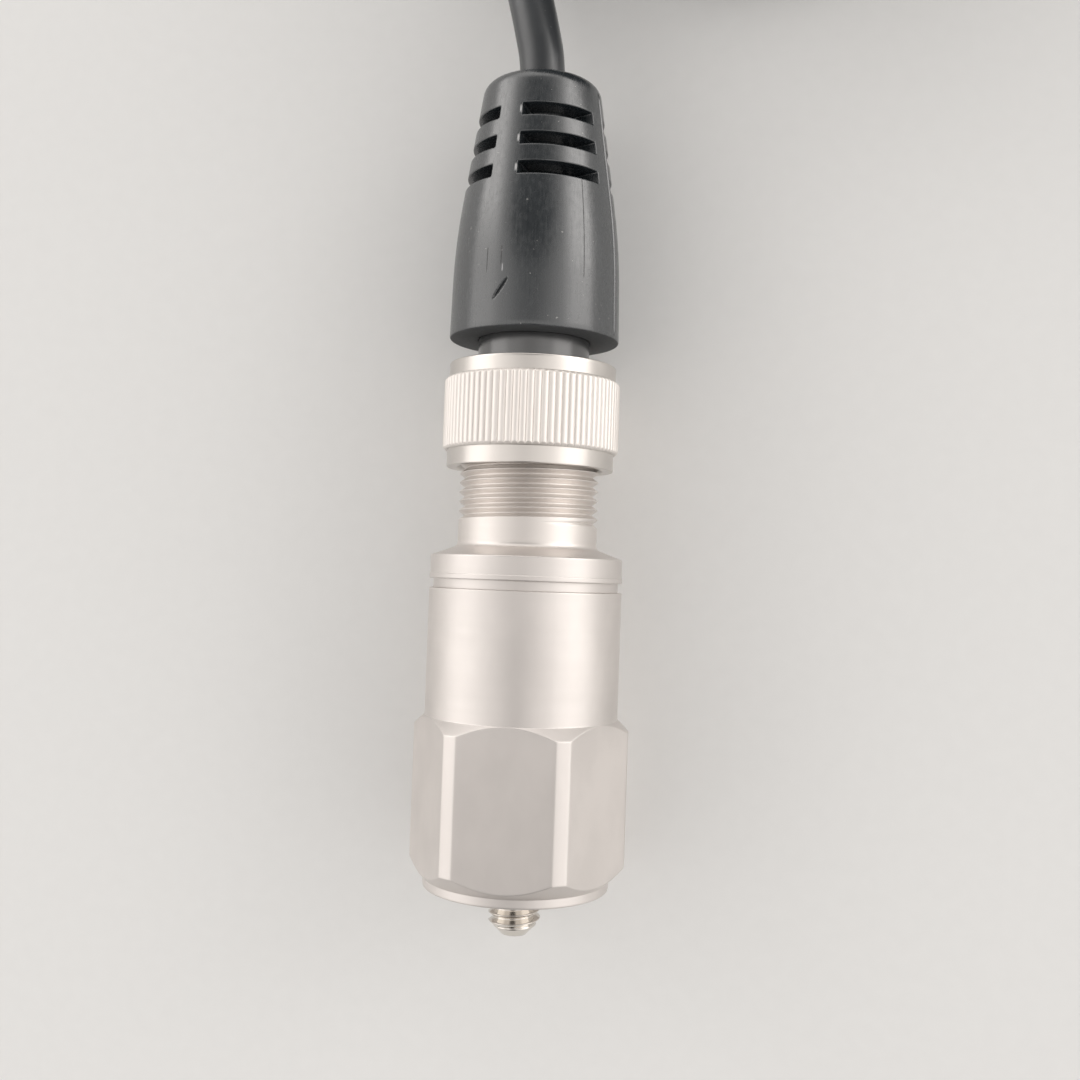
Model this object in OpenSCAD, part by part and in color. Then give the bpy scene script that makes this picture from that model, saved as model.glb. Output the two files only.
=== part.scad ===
// Industrial vibration sensor with a moulded cable plug.
// The sensor lies on one flat of its hexagon: its axis runs along +Y, from the mounting
// stud towards the cable, and +Z is up. All sizes are in millimetres.

/* [Mounting stud] */
// Outside diameter of the stud
stud_d = 5.88; // [4.9:0.01:6.4]
// How far the stud stands out of the mounting face
stud_reach = 5.4; // [4:0.1:9]
// How deep the stud sits in the housing
stud_depth = 6.4; // [5:0.1:6.8]
// Diameter of the stud's flat tip
stud_tip_d = 2.9; // [2:0.1:4]
// Diameter of the undercut behind the stud's thread
stud_neck_d = 4.7; // [3.6:0.1:4.8]
// Length of that undercut
stud_neck_h = 0.8; // [0.4:0.1:1.5]

/* [Housing] */
// Diameter of the disc at the mounting face
base_d = 21; // [19:0.1:21.8]
// Height of that disc
base_h = 1.05; // [0.6:0.05:2]
// Width of the hexagon across its flats
hex_af = 22; // [21.9:0.1:23]
// Diameter that the hexagon's corners are turned to
corner_d = 24.5; // [24:0.1:25]
// Height of the hexagon's corners, up to their chamfer
hex_top = 17.8; // [12:0.1:24]
// Diameter of the plain barrel above the hexagon
barrel_d = 21.9; // [20.5:0.1:21.9]
// Height of the housing, from the mounting face to its rim
housing_h = 33.4; // [32.5:0.1:42]
// Diameter of the cavity
cavity_d = 18; // [17.4:0.1:18.8]
// Thickness of the solid base under the cavity
floor_h = 8; // [7.5:0.1:8.4]

/* [Sensing element] */
// Diameter of the insulating disc under the element
insulator_d = 16.4; // [15.6:0.1:17]
// Thickness of that disc
insulator_h = 0.6; // [0.3:0.1:1]
// Diameter of the post's flange
post_flange_d = 12; // [10.5:0.1:13.5]
// Thickness of the post's flange
post_flange_h = 1.6; // [1:0.1:2]
// Diameter of the post
post_d = 4; // [3:0.1:4.4]
// Length of the post above the preload nut
post_spare = 0.4; // [0.2:0.1:0.8]
// Outside diameter of the piezo rings
piezo_d = 10; // [8:0.1:11]
// Thickness of one piezo ring
piezo_h = 1.2; // [0.8:0.1:1.4]
// Thickness of the contact between the rings
electrode_h = 0.2; // [0.1:0.05:0.4]
// Wall of the sleeve between the post and the rings
sleeve_wall = 0.25; // [0.15:0.05:0.4]
// Diameter of the seismic mass
mass_d = 11; // [9:0.1:11.4]
// Height of the seismic mass
mass_h = 5.5; // [3:0.1:6]
// Diameter of the spring washer
washer_d = 8; // [6.5:0.1:9]
// Thickness of the spring washer's sheet
washer_t = 0.35; // [0.2:0.05:0.5]
// Free height of the spring washer
washer_h = 0.7; // [0.55:0.05:1]
// Width of the preload nut across its flats
preload_af = 7; // [6:0.1:8]
// Height of the preload nut
preload_h = 2; // [1.4:0.1:2.4]
// Outside diameter of the shield can
can_d = 15.2; // [14.8:0.1:15.6]
// Sheet thickness of the shield can
can_t = 0.4; // [0.2:0.05:0.5]
// Room between the post and the can's top
can_room = 1.5; // [0.8:0.1:2]
// Distance of the signal wire from the axis
wire_offset = 6.3; // [6.1:0.05:6.5]
// Diameter of the signal wire
wire_d = 0.5; // [0.3:0.05:0.6]

/* [Amplifier] */
// Outside diameter of the ring under the board
spacer_d = 16.8; // [16:0.1:17.2]
// Width of that ring
spacer_wall = 1.6; // [1:0.1:1.7]
// Height of that ring
spacer_h = 1.2; // [0.8:0.1:1.6]
// Diameter of the circuit board
board_d = 16; // [15.4:0.1:17]
// Thickness of the circuit board
board_t = 1; // [0.8:0.1:1.6]
// Height of the tallest component
part_h = 1.3; // [0.6:0.1:1.6]
// Diameter of the wires from the board to the pins
lead_d = 0.6; // [0.4:0.05:1]

/* [Connector header] */
// Depth of the spigot in the housing
spigot_h = 4; // [3:0.1:4.4]
// Diameter of the weld groove
land_d = 21; // [19.5:0.1:21.5]
// Width of the weld groove
land_h = 1.05; // [0.6:0.05:2]
// Diameter of the flange
flange_d = 21.8; // [20.5:0.1:21.8]
// Height of the flange
flange_h = 2.65; // [1.8:0.05:4]
// Diameter of the bead at the flange's lower edge
bead_d = 21.94; // [21.85:0.01:21.98]
// Height of that bead
bead_h = 0.6; // [0.3:0.05:1]
// Height of the cone above the flange
shoulder_h = 1.1; // [0.6:0.1:2]
// Outside diameter of the connector thread
thread_d = 15.83; // [15.2:0.01:16.2]
// Length of the neck, from the cone to its rim
neck_h = 15.3; // [14.5:0.1:18]
// Radius of the fillet at the neck's foot
neck_fillet = 0.6; // [0.2:0.1:1]
// Chamfer at the neck's rim
neck_chamfer = 0.5; // [0.2:0.1:0.7]
// Diameter of the socket that the plug enters
socket_d = 13.2; // [12.8:0.1:13.6]
// Depth of that socket
socket_depth = 10; // [9:0.1:11]
// Diameter of the insulator that holds the pins
glass_d = 11; // [9:0.1:12]
// Depth of the insulator, from the socket's floor
glass_h = 12.5; // [8:0.1:13]
// Distance between the two pins
pin_pitch = 5; // [4:0.1:6]
// Diameter of a pin
pin_d = 1.6; // [1.2:0.1:1.8]
// How far a pin stands above the socket's floor
pin_reach = 7.5; // [6:0.1:8.5]
// How far a pin stands out below the insulator
pin_tail = 2; // [1.5:0.1:2.6]

/* [Plug] */
// Gap between the plug's front and the socket's floor
front_gap = 1.5; // [0.8:0.1:2.5]
// Radial gap between the plug's barrel and the socket
plug_gap = 0.1; // [0.05:0.01:0.2]
// Thickness of the gasket under the plug's flange
gasket_h = 0.5; // [0.3:0.1:1]
// Diameter of the plug's flange
plug_flange_d = 15; // [14.4:0.1:15.6]
// Thickness of the plug's flange
plug_flange_h = 1.2; // [0.8:0.1:2]
// Diameter of the plug's neck
stem_d = 12.7; // [12:0.1:13]
// Depth of the plug's neck in the boot
stem_grip = 4.2; // [3:0.1:6]
// Outside diameter of a contact socket
contact_d = 2.6; // [2.3:0.1:3.2]
// Length of a contact socket
contact_h = 14.4; // [10:0.1:16]
// How far the contact sockets lie behind the plug's front
contact_inset = 0.6; // [0.3:0.1:1]
// Depth of the hole in a contact socket
contact_bore_h = 7; // [6.5:0.1:9]

/* [Coupling nut] */
// Diameter of the two plain collars
collar_d = 19; // [18.4:0.1:19.4]
// Height of the front collar
front_collar_h = 1.9; // [1:0.1:3]
// Height of the knurl
knurl_h = 8.2; // [6:0.1:9]
// Height of the rear collar
rear_collar_h = 1.7; // [1:0.1:3]
// Diameter over the knurl
knurl_d = 20.05; // [19.5:0.05:20.4]
// Teeth of the knurl
knurl_teeth = 80; // [60:1:90]
// Depth of the knurl
knurl_depth = 0.3; // [0.15:0.05:0.4]
// Chamfer at the knurl's ends
knurl_chamfer = 0.35; // [0.1:0.05:0.5]
// Radial clearance of the thread
thread_clear = 0.085; // [0.05:0.005:0.1]
// Length of the nut in front of its friction ring
nut_skirt_h = 8.15; // [7:0.05:8.4]
// Thickness of the friction ring
ring_h = 0.7; // [0.5:0.05:1]
// How far the friction ring reaches into its groove in the nut
ring_bite = 0.2; // [0.1:0.05:0.4]
// Play of the friction ring on every side
ring_play = 0.05; // [0.03:0.01:0.1]

/* [Boot and cable] */
// Neck that shows between the nut and the boot
nut_gap = 2.9; // [2.9:0.1:5]
// Diameter of the boot near its lower rim
boot_d = 19.36; // [18.4:0.02:20]
// Length of the boot
boot_h = 29.5; // [28:0.1:36]
// Length of the boot's nearly straight part
boot_straight_h = 6.2; // [4:0.1:7]
// Length over which the boot bends into its cone
boot_bend_h = 9; // [6:0.1:10]
// Slope of the straight part
straight_slope = 0.024; // [0:0.002:0.04]
// Slope of the cone
cone_slope = 0.15; // [0.1:0.005:0.18]
// Rounding of the boot's lower rim
rim_round = 0.2; // [0.2:0.1:0.8]
// Rounding of the boot's upper end
tip_round = 1.7; // [1:0.1:2.4]
// Rows of bend relief slots
slot_rows = 3; // [1:1:3]
// Distance from the boot's lower rim to the first row
slot_start = 17.6; // [16.5:0.1:19]
// Distance between rows
slot_pitch = 3.4; // [2.6:0.1:3.6]
// Width of a slot
slot_w = 1.4; // [0.8:0.1:1.8]
// Slots in a row
slots_per_row = 4; // [2:1:4]
// Angle that one slot spans
slot_angle = 68; // [40:1:70]
// Angle of the first slot from straight up, towards +X
slot_turn = 24.3; // [0:0.1:90]
// Diameter of the web that the slots leave standing
slot_core_d = 8.4; // [7:0.1:9]
// Diameter of the pocket behind the plug's contacts
pocket_d = 9.6; // [8.6:0.1:10.2]
// Diameter of the inner moulding
mould_d = 11.2; // [10.4:0.1:11.8]
// Length of the inner moulding
mould_h = 8; // [6:0.1:9]
// Diameter of the cable
cable_d = 5.2; // [4.8:0.1:5.4]
// Diameter of one insulated core
core_d = 1.5; // [1.1:0.1:1.7]
// Distance between the cores in the cable
core_pitch = 2.2; // [1.8:0.1:2.6]

/* [Stored cable] */
// Turns side by side in the coil
coil_columns = 3; // [2:1:3]
// Layers of turns in the coil
coil_rows = 4; // [2:1:4]
// Diameter of the coil at the middle of its turns
coil_mid_d = 52; // [50:1:62]
// Thickness of a coil tie
tie_t = 0.8; // [0.5:0.1:1.2]
// Width of a coil tie
tie_w = 4; // [2.5:0.5:6]
// Diameter of the sleeve at the cable's end
sleeve_d = 6; // [5.6:0.1:6.6]
// Angle that the sleeve spans on the coil
sleeve_angle = 26; // [18:1:40]
// Angle that the bare leads span
lead_angle = 40; // [30:1:44]
// Diameter of a lead's ferrule
ferrule_d = 2; // [1.8:0.1:2.2]
// Angle that a ferrule spans
ferrule_angle = 15; // [10:1:20]

/* [Hidden] */
$fn = 96;

// Small overlap that lets a cut pass a face, and the radial clearance of fixed pieces
past = 0.5;
fit = 0.04;

// Heights along the axis, from the mounting face
cone_top = base_h + (corner_d - base_d) / 2;
chamfer_top = hex_top + (corner_d - barrel_d) / 2;
stud_chamfer = (stud_d - stud_tip_d) / 2;
post_s = floor_h + insulator_h;
piezo_s = post_s + post_flange_h;
electrode_s = piezo_s + piezo_h;
upper_s = electrode_s + electrode_h;
mass_s = upper_s + piezo_h;
washer_s = mass_s + mass_h;
preload_s = washer_s + washer_h;
post_top = preload_s + preload_h + post_spare;
can_top = post_top + can_room + can_t;
board_s = can_top + spacer_h;
board_top = board_s + board_t;
land_top = housing_h + land_h;
flange_top = land_top + flange_h;
shoulder_top = flange_top + shoulder_h;
neck_top = shoulder_top + neck_h;
socket_s = neck_top - socket_depth;
glass_s = socket_s - glass_h;
pin_s = glass_s - pin_tail;
plug_s = socket_s + front_gap;
flange_s = neck_top + gasket_h;
stem_s = flange_s + plug_flange_h;
ring_s = stem_s + 2 * ring_play;
nut_s = ring_s - ring_play - nut_skirt_h;
knurl_s = nut_s + front_collar_h;
rear_s = knurl_s + knurl_h;
nut_top = rear_s + rear_collar_h;
boot_s = nut_top + nut_gap;
mould_s = boot_s + stem_grip;
stub_s = mould_s + mould_h;
boot_top = boot_s + boot_h;
contact_s = plug_s + contact_inset;
contact_top = contact_s + contact_h;

// Place of the laid sensor: half of its length lies on each side of the origin
axis_h = hex_af / 2;
mid_s = (boot_top - stud_reach) / 2;
exit_y = boot_top - mid_s;

// Radii that several pieces share
sleeve_r = post_d / 2 + fit + sleeve_wall;
ring_id = sleeve_r + fit;
nut_bore_r = thread_d / 2 + thread_clear;
stem_bore_r = stem_d / 2 + 2 * ring_play;
coil_r = coil_mid_d / 2;
coil_half = coil_columns * cable_d / 2;
coil_h = coil_rows * cable_d;
coil_top = tie_t + coil_h;

// Points of the cable from the boot to the coil, at its centre line
route = [
    [0, exit_y, axis_h], [-0.3, 52, 11], [-0.9, 55, 10.9], [-1.6, 58, 10.7], [-2.4, 61, 10.3],
    [-3.3, 64, 9.7], [-4.4, 67.5, 8.9], [-5.4, 71, 8], [-6.4, 75, 6.9], [-7.2, 79, 5.8],
    [-7.8, 83, 4.9], [-8.2, 87, 4.2], [-8.5, 91, 3.7], [-8.6, 95.5, 3.5], [-8.6, 100, 3.4]
];
cable_sides = 10;
// Centre of the coil, beside the end of that route
coil_x = 22.6;
coil_y = 100;
// Where the ties hold the coil, and where the sleeve at the cable's end begins on it
tie_turns = [120, 300];
end_turn = 212;

// Upright pieces, with the axis on Z, are laid down so that the cable points along +Y
module lay() {
    translate([0, -mid_s, axis_h]) rotate([-90, 0, 0]) children();
}

module at(s) {
    translate([0, 0, s]) children();
}

module disc(s, h, d) {
    at(s) cylinder(h = h, d = d);
}

module ring(s, h, od, id) {
    difference() {
        disc(s, h, od);
        disc(s - past, h + 2 * past, id);
    }
}

module pair(pitch) {
    for (side = [-1, 1]) translate([side * pitch / 2, 0, 0]) children();
}

module hexagon(s, h, af) {
    at(s) cylinder(h = h, d = af / cos(30), $fn = 6);
}

module sensor_housing() {
    outline = [
        [0, 0], [base_d / 2, 0], [base_d / 2, base_h], [corner_d / 2, cone_top],
        [corner_d / 2, hex_top], [barrel_d / 2, chamfer_top], [barrel_d / 2, housing_h], [0, housing_h]
    ];
    color("silver") lay() difference() {
        intersection() {
            rotate_extrude() polygon(outline);
            union() {
                hexagon(-past, chamfer_top + past, hex_af);
                disc(chamfer_top, housing_h, corner_d + past);
            }
        }
        disc(floor_h, housing_h, cavity_d);
        disc(-past, stud_depth + 2 * past, stud_d + 2 * fit);
    }
}

module mounting_stud() {
    outline = [
        [0, -stud_reach], [stud_tip_d / 2, -stud_reach], [stud_d / 2, stud_chamfer - stud_reach],
        [stud_d / 2, 0], [stud_neck_d / 2, 0], [stud_neck_d / 2, stud_neck_h],
        [stud_d / 2, stud_neck_h], [stud_d / 2, stud_depth], [0, stud_depth]
    ];
    color("gainsboro") lay() rotate_extrude() polygon(outline);
}

module base_insulator() {
    color("ivory") lay() disc(floor_h, insulator_h, insulator_d);
}

module element_post() {
    color("lightgray") lay() union() {
        disc(post_s, post_flange_h, post_flange_d);
        disc(post_s, post_top - post_s, post_d);
    }
}

module piezo(s) {
    color("khaki") lay() ring(s, piezo_h, piezo_d, 2 * ring_id);
}

module piezo_ring_lower() {
    piezo(piezo_s);
}

module piezo_ring_upper() {
    piezo(upper_s);
}

// The contact has a tab at its edge, which carries the signal wire
module contact_electrode() {
    tab_end = wire_offset + wire_d;
    color("goldenrod") lay() difference() {
        union() {
            disc(electrode_s, electrode_h, piezo_d);
            translate([0, -wire_d, electrode_s]) cube([tab_end, 2 * wire_d, electrode_h]);
        }
        disc(electrode_s - past, electrode_h + 2 * past, 2 * ring_id);
    }
}

module insulating_sleeve() {
    color("whitesmoke") lay() ring(piezo_s, washer_s - piezo_s, 2 * sleeve_r, post_d + 2 * fit);
}

module seismic_mass() {
    color("dimgray") lay() ring(mass_s, mass_h, mass_d, 2 * ring_id);
}

// A coned washer: its outer edge stands on the mass and its inner edge holds the nut
module spring_washer() {
    inner_r = post_d / 2 + 2 * fit;
    outline = [
        [inner_r, preload_s - washer_t], [washer_d / 2, washer_s],
        [washer_d / 2, washer_s + washer_t], [inner_r, preload_s]
    ];
    color("slategray") lay() rotate_extrude() polygon(outline);
}

module preload_nut() {
    color("silver") lay() difference() {
        hexagon(preload_s, preload_h, preload_af);
        disc(preload_s - past, preload_h + 2 * past, post_d + 2 * fit);
    }
}

module shield_can() {
    color("lightsteelblue") lay() difference() {
        disc(post_s, can_top - post_s, can_d);
        disc(post_s - past, can_top - post_s - can_t + past, can_d - 2 * can_t);
        translate([wire_offset, 0, can_top - 2 * can_t]) cylinder(h = 3 * can_t, d = 2 * wire_d);
    }
}

module signal_wire() {
    color("gold") lay() translate([wire_offset, 0, upper_s]) cylinder(h = board_s - upper_s, d = wire_d);
}

module board_spacer() {
    color("beige") lay() ring(can_top, spacer_h, spacer_d, spacer_d - 2 * spacer_wall);
}

module amplifier_board() {
    color("darkgreen") lay() disc(board_s, board_t, board_d);
}

// Two chips and four small parts, under the header's bore and clear of the two wires
module board_components() {
    chip = glass_d * 0.24;
    chip_y = glass_d * 0.29;
    small = glass_d * 0.09;
    small_at = [glass_d * 0.33, glass_d * 0.22];
    color("black") lay() for (side = [-1, 1]) {
        translate([-chip / 2, side * chip_y - chip / 2, board_top]) cube([chip, chip, part_h]);
        for (end = [-1, 1]) {
            translate([end * small_at[0] - small / 2, side * small_at[1] - small / 2, board_top])
                cube([small, small, part_h / 2]);
        }
    }
}

module lead_wires() {
    color("red") lay() pair(pin_pitch) disc(board_top, pin_s - board_top, lead_d);
}

function arc(centre, r, from, to, steps) = [
    for (i = [0 : steps])
        let (turn = from + (to - from) * i / steps) centre + r * [cos(turn), sin(turn)]
];

// The cone above the flange runs into the threaded neck in a fillet
module connector_header() {
    cone_lean = atan(2 * shoulder_h / (flange_d - thread_d));
    fillet_at = [thread_d / 2 + neck_fillet, shoulder_top + neck_fillet / tan((90 + cone_lean) / 2)];
    outline = [
        [glass_d / 2, housing_h - spigot_h], [cavity_d / 2 - fit, housing_h - spigot_h],
        [cavity_d / 2 - fit, housing_h], [land_d / 2, housing_h], [land_d / 2, land_top],
        [bead_d / 2, land_top], [bead_d / 2, land_top + bead_h], [flange_d / 2, land_top + bead_h],
        [flange_d / 2, flange_top], each arc(fillet_at, neck_fillet, 270 - cone_lean, 180, 4),
        [thread_d / 2, neck_top - neck_chamfer], [thread_d / 2 - neck_chamfer, neck_top],
        [socket_d / 2, neck_top], [socket_d / 2, socket_s], [glass_d / 2, socket_s]
    ];
    color("silver") lay() rotate_extrude() polygon(outline);
}

module header_insulator() {
    color("darkslategray") lay() difference() {
        disc(glass_s, glass_h, glass_d - 2 * fit);
        pair(pin_pitch) disc(glass_s - past, glass_h + 2 * past, pin_d + 2 * fit);
    }
}

module contact_pins() {
    color("gold") lay() pair(pin_pitch) disc(pin_s, socket_s + pin_reach - pin_s, pin_d);
}

module plug_gasket() {
    color("orangered") lay() ring(neck_top, gasket_h, plug_flange_d, socket_d);
}

module plug_insert() {
    color([0.13, 0.14, 0.15]) lay() difference() {
        union() {
            disc(plug_s, stem_s - plug_s, socket_d - 2 * plug_gap);
            disc(flange_s, plug_flange_h, plug_flange_d);
            disc(flange_s, mould_s - flange_s, stem_d);
        }
        pair(pin_pitch) disc(plug_s - past, contact_top - plug_s + 2 * past, contact_d + 2 * fit);
        disc(contact_top, mould_s - contact_top + past, pocket_d + 2 * fit);
    }
}

module contact_sockets() {
    color("gold") lay() pair(pin_pitch) difference() {
        disc(contact_s, contact_h, contact_d);
        disc(contact_s - past, contact_bore_h + past, pin_d + 2 * fit);
    }
}

// Outline of the knurl: each tooth has a flat crest, and a flat root follows it
function knurl_points(r, depth, teeth) = [
    for (tooth = [0 : teeth - 1], corner = [[0, 0], [0.5, 0], [0.68, 1], [0.82, 1]])
        let (turn = 360 * (tooth + corner[0]) / teeth, reach = r - corner[1] * depth)
            [reach * cos(turn), reach * sin(turn)]
];

// The teeth end in a chamfer at both sides
module knurl() {
    end_r = knurl_d / 2 - knurl_chamfer;
    clear_r = knurl_d / 2 + past;
    rise = clear_r - end_r;
    outline = [
        [0, knurl_s], [end_r, knurl_s], [clear_r, knurl_s + rise],
        [clear_r, rear_s - rise], [end_r, rear_s], [0, rear_s]
    ];
    intersection() {
        at(knurl_s) linear_extrude(height = knurl_h)
            polygon(knurl_points(knurl_d / 2, knurl_depth, knurl_teeth));
        rotate_extrude() polygon(outline);
    }
}

// The thread is cut to its inside diameter; the rear lip carries the friction ring's groove
module coupling_nut() {
    groove_top = ring_s + ring_h + ring_play;
    color("lightgray") lay() difference() {
        union() {
            knurl();
            disc(nut_s, nut_top - nut_s, collar_d);
        }
        disc(nut_s - past, ring_s - nut_s + past, 2 * nut_bore_r);
        disc(ring_s - ring_play, groove_top - ring_s + ring_play, 2 * (nut_bore_r + ring_bite + ring_play));
        disc(groove_top - past, nut_top - groove_top + 2 * past, 2 * stem_bore_r);
    }
}

module nut_friction_ring() {
    color("tan") lay() ring(ring_s, ring_h, 2 * (nut_bore_r + ring_bite), 2 * stem_bore_r);
}

// The two cores lean in from the contacts to the cable, straight through the inner moulding
module core_runs(d) {
    run_h = stub_s - contact_top;
    lean = atan((pin_pitch - core_pitch) / 2 / run_h);
    for (turn = [0, 180]) {
        rotate([0, 0, turn]) translate([pin_pitch / 2, 0, contact_top]) rotate([0, -lean, 0])
            translate([0, 0, -core_d]) cylinder(h = run_h / cos(lean) + 2 * core_d, d = d);
    }
}

// The moulding fills the pocket behind the contacts and the room in the boot
module inner_mould() {
    color("darkgray") lay() difference() {
        union() {
            disc(contact_top, mould_s - contact_top, pocket_d);
            disc(mould_s, mould_h, mould_d);
        }
        core_runs(core_d + 2 * fit);
    }
}

module cable_cores() {
    color("firebrick") lay() intersection() {
        core_runs(core_d);
        disc(contact_top, stub_s - contact_top, mould_d);
    }
}

// Radius of the boot: nearly straight, then a bend of steady curvature, then a cone
function boot_r(h) =
    let (bend = min(max(h - boot_straight_h, 0), boot_bend_h), cone = max(h - boot_straight_h - boot_bend_h, 0))
        boot_d / 2 - straight_slope * min(h, boot_straight_h) - straight_slope * bend
        - (cone_slope - straight_slope) * bend * bend / (2 * boot_bend_h) - cone_slope * cone;

// Side of the boot from its lower rim to its upper end, both ends rounded
function boot_side() =
    let (lean = atan(cone_slope), tip_h = boot_h - tip_round,
         tip_r = boot_r(tip_h + tip_round * sin(lean)) - tip_round * cos(lean))
        concat(
            arc([boot_r(rim_round) - rim_round, rim_round], rim_round, -90, 0, 4),
            [for (i = [0 : 8]) let (h = boot_straight_h + boot_bend_h * i / 8) [boot_r(h), h]],
            arc([tip_r, tip_h], tip_round, lean, 90, 6)
        );

module relief_slots() {
    reach = boot_d / 2 - slot_core_d / 2 + past;
    for (row = [0 : slot_rows - 1], slot = [0 : slots_per_row - 1]) {
        turn = slot_turn + 360 * slot / slots_per_row - 90 - slot_angle / 2;
        rotate([0, 0, turn]) at(boot_s + slot_start + row * slot_pitch - slot_w / 2)
            rotate_extrude(angle = slot_angle) translate([slot_core_d / 2, 0]) square([reach, slot_w]);
    }
}

module cable_boot() {
    color([0.2, 0.21, 0.22]) lay() difference() {
        at(boot_s) rotate_extrude() polygon(concat([[0, 0]], boot_side(), [[0, boot_h]]));
        disc(boot_s - past, stem_grip + past, stem_d + 2 * fit);
        disc(mould_s - past, mould_h + past, mould_d + 2 * fit);
        disc(stub_s - past, boot_top - stub_s + 2 * past, cable_d + 2 * fit);
        relief_slots();
    }
}

module cable_stub() {
    color([0.15, 0.16, 0.17]) lay() disc(stub_s, boot_top - stub_s, cable_d);
}

// A ring of points round one point of the route, square to the route there
function heading(p, i) =
    let (v = p[min(i + 1, len(p) - 1)] - p[max(i - 1, 0)]) v / norm(v);

function route_ring(p, i, r, sides) =
    let (along = i == 0 ? [0, 1, 0] : heading(p, i), across = cross(along, [0, 0, 1]),
         side = across / norm(across), up = cross(side, along))
        [for (k = [0 : sides - 1]) p[i] + r * (cos(360 * k / sides) * side + sin(360 * k / sides) * up)];

module tube(p, r, sides) {
    last = len(p) - 1;
    points = [for (i = [0 : last]) each route_ring(p, i, r, sides)];
    walls = [
        for (i = [0 : last - 1], k = [0 : sides - 1]) let (next = (k + 1) % sides)
            each [
                [i * sides + k, i * sides + next, (i + 1) * sides + next],
                [i * sides + k, (i + 1) * sides + next, (i + 1) * sides + k]
            ]
    ];
    start = [for (k = [0 : sides - 1]) sides - 1 - k];
    end = [for (k = [0 : sides - 1]) last * sides + k];
    polyhedron(points = points, faces = concat([start], walls, [end]));
}

module cable_lead() {
    color([0.15, 0.16, 0.17]) tube(route, cable_d / 2, cable_sides);
}

module on_coil(turn, h) {
    translate([coil_x, coil_y, h]) rotate([0, 0, turn]) children();
}

module cable_coil() {
    round_r = cable_d / 2;
    inner = coil_r - coil_half;
    outer = coil_r + coil_half;
    section = concat(
        arc([outer - round_r, coil_h - round_r], round_r, 0, 90, 6),
        arc([inner + round_r, coil_h - round_r], round_r, 90, 180, 6),
        arc([inner + round_r, round_r], round_r, 180, 270, 6),
        arc([outer - round_r, round_r], round_r, 270, 360, 6)
    );
    color([0.15, 0.16, 0.17]) on_coil(0, tie_t) rotate_extrude() polygon(section);
}

// Two straps round the coil's section, on opposite sides
module coil_ties() {
    slack = tie_w * tie_w / (8 * (coil_r - coil_half)) + fit;
    color("black") for (turn = tie_turns) {
        on_coil(turn, 0) translate([coil_r, 0, 0]) difference() {
            translate([-coil_half - slack - tie_t, -tie_w / 2, 0])
                cube([2 * (coil_half + slack + tie_t), tie_w, coil_top + tie_t]);
            translate([-coil_half - slack, -tie_w, tie_t])
                cube([2 * (coil_half + slack), 2 * tie_w, coil_h]);
        }
    }
}

module on_top(start, span, d, offset) {
    on_coil(start, coil_top + sleeve_d / 2) rotate_extrude(angle = span)
        translate([coil_r + offset, 0]) circle(d = d);
}

module cable_end_sleeve() {
    color("black") on_top(end_turn, -sleeve_angle, sleeve_d, 0);
}

module end_leads() {
    color("firebrick") for (side = [-1, 1])
        on_top(end_turn - sleeve_angle, -lead_angle, core_d, side * core_pitch / 2);
}

module lead_ferrules() {
    color("gainsboro") for (side = [-1, 1])
        on_top(end_turn - sleeve_angle - lead_angle, -ferrule_angle, ferrule_d, side * core_pitch / 2);
}

sensor_housing();
mounting_stud();
base_insulator();
element_post();
piezo_ring_lower();
contact_electrode();
piezo_ring_upper();
insulating_sleeve();
seismic_mass();
spring_washer();
preload_nut();
shield_can();
signal_wire();
board_spacer();
amplifier_board();
board_components();
lead_wires();
connector_header();
header_insulator();
contact_pins();
plug_gasket();
plug_insert();
contact_sockets();
coupling_nut();
nut_friction_ring();
inner_mould();
cable_cores();
cable_boot();
cable_stub();
cable_lead();
cable_coil();
coil_ties();
cable_end_sleeve();
end_leads();
lead_ferrules();
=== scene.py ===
"""Looks of an industrial vibration sensor with a moulded cable plug, laid on a pale floor.

Lengths are millimetres. On the sensor, s runs along the axis from the mounting face, r is the radius
and turn is the angle from straight up towards +X, in radians.
"""
import math

import bmesh
import bpy
import numpy as np
from mathutils import Matrix, Vector


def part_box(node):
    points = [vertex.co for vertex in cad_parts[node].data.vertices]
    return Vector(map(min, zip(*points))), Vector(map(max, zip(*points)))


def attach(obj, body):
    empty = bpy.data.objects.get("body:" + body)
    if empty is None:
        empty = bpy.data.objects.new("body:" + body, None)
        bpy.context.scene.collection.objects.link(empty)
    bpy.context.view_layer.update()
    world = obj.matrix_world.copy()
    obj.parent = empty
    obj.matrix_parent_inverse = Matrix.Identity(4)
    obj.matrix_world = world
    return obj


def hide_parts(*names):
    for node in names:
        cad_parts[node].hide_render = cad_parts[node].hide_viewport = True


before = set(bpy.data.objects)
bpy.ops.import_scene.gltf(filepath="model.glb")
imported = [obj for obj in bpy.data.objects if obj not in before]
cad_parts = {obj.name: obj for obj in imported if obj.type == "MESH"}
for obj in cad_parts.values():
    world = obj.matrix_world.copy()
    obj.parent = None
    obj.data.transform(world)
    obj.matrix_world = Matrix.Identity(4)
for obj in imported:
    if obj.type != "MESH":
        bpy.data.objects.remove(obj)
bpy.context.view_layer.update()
MM = 0.001


# Places taken from the frame
def corners(node):
    """Lowest and highest corner of a CAD node, in millimetres."""
    low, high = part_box(node)
    return np.array(low) / MM, np.array(high) / MM


FACE_Y = corners("sensor_housing")[0][1]
AXIS_Z = sum(corner[2] for corner in corners("sensor_housing")) / 2


def reach(node):
    """Where a CAD node starts and ends along the axis, from the mounting face."""
    low, high = corners(node)
    return low[1] - FACE_Y, high[1] - FACE_Y


def half_width(node):
    """Half of a CAD node's width across the axis."""
    low, high = corners(node)
    return (high[0] - low[0]) / 2


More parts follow.
